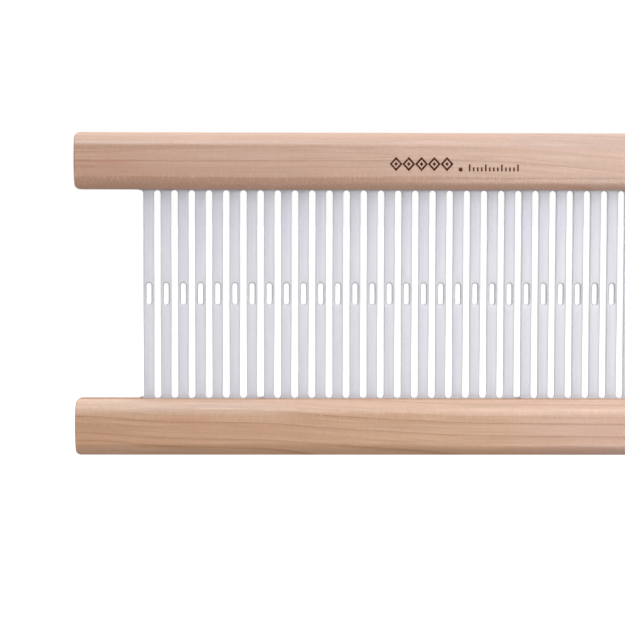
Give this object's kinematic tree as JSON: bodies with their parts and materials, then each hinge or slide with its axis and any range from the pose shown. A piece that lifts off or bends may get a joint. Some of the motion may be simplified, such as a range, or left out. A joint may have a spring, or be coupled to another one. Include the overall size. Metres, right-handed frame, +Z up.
{
  "type": "rigid heddle reed",
  "caption": "Rigid heddle reed: two wooden rails hold an upright row of plastic dents with alternating slots and eyes that space and lift the warp threads.",
  "frame": {"origin": "under the middle of the reed, on the plane of the bottom rail's outer edge that it stands on", "axes": "+X along the rails to the right as seen from the front, -Y out of the front face, +Z up from the bottom rail to the top rail"},
  "size_m": [0.297, 0.012, 0.125],
  "materials": {
    "beech_lower": "satin lacquered silver beech, warmer piece",
    "beech_upper": "satin lacquered silver beech, pinker piece",
    "dent_plastic": "smooth semi-gloss moulded, slightly translucent white with a lavender-grey cast"
  },
  "bodies": {
    "root": {"bottom_rail": "beech_lower", "top_rail": "beech_upper", "dent_section_left": "dent_plastic", "dent_section_middle": "dent_plastic", "dent_section_right": "dent_plastic"}
  },
  "joints": []
}
